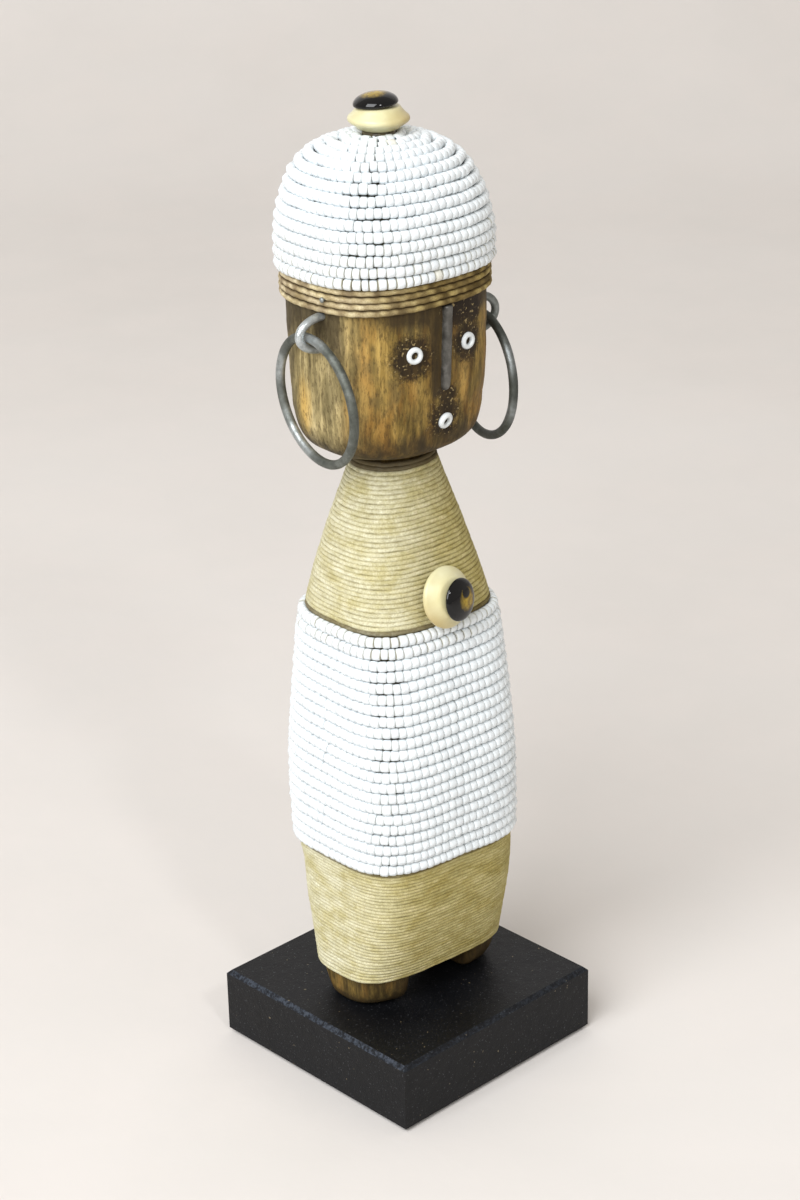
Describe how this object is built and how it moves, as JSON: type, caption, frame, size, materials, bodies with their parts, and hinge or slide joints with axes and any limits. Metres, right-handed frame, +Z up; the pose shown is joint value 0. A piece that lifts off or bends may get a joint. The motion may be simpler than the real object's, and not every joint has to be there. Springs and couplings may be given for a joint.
{
  "type": "namji doll on a stone block",
  "caption": "Carved wooden doll wound with twine, with a white bead tunic and bead cap, eye buttons and wire hoop earrings, standing on a black stone block.",
  "frame": {"origin": "centre of the stone block's underside", "axes": "+Z up, along the doll's height; the doll looks along -Y, turned 4 degrees towards -X"},
  "size_m": [0.075, 0.075, 0.2802],
  "materials": {
    "black_stone": "honed, near black, with small pale specks",
    "carved_wood": "worn and handled, golden brown with scorched patches",
    "pale_twine": "matt twisted twine, khaki",
    "brown_twine": "matt twisted twine, browner and coarser",
    "white_beads": "opaque white glass seed beads, glossy",
    "cream_button": "glossy cream",
    "black_button": "glossy black dome with an amber patch",
    "grey_steel_wire": "oxidised grey steel wire with bright worn places",
    "dark_iron": "dull dark iron strip"
  },
  "bodies": {
    "root": {"stone_block": "black_stone", "carved_figure": "carved_wood", "lower_twine_wrap": "pale_twine", "upper_twine_wrap": "pale_twine", "bead_tunic": "white_beads", "head_twine_band": "brown_twine", "bead_cap": "white_beads", "top_button_disc": "cream_button", "top_button_dome": "black_button", "chest_button_disc": "cream_button", "chest_button_dome": "black_button", "left_eye_bead": "white_beads", "right_eye_bead": "white_beads", "mouth_bead": "white_beads", "iron_nose": "dark_iron", "band_pin": "grey_steel_wire", "left_earring_staple": "grey_steel_wire", "right_earring_staple": "grey_steel_wire", "left_earring_ring": "grey_steel_wire", "right_earring_ring": "grey_steel_wire"}
  },
  "joints": []
}
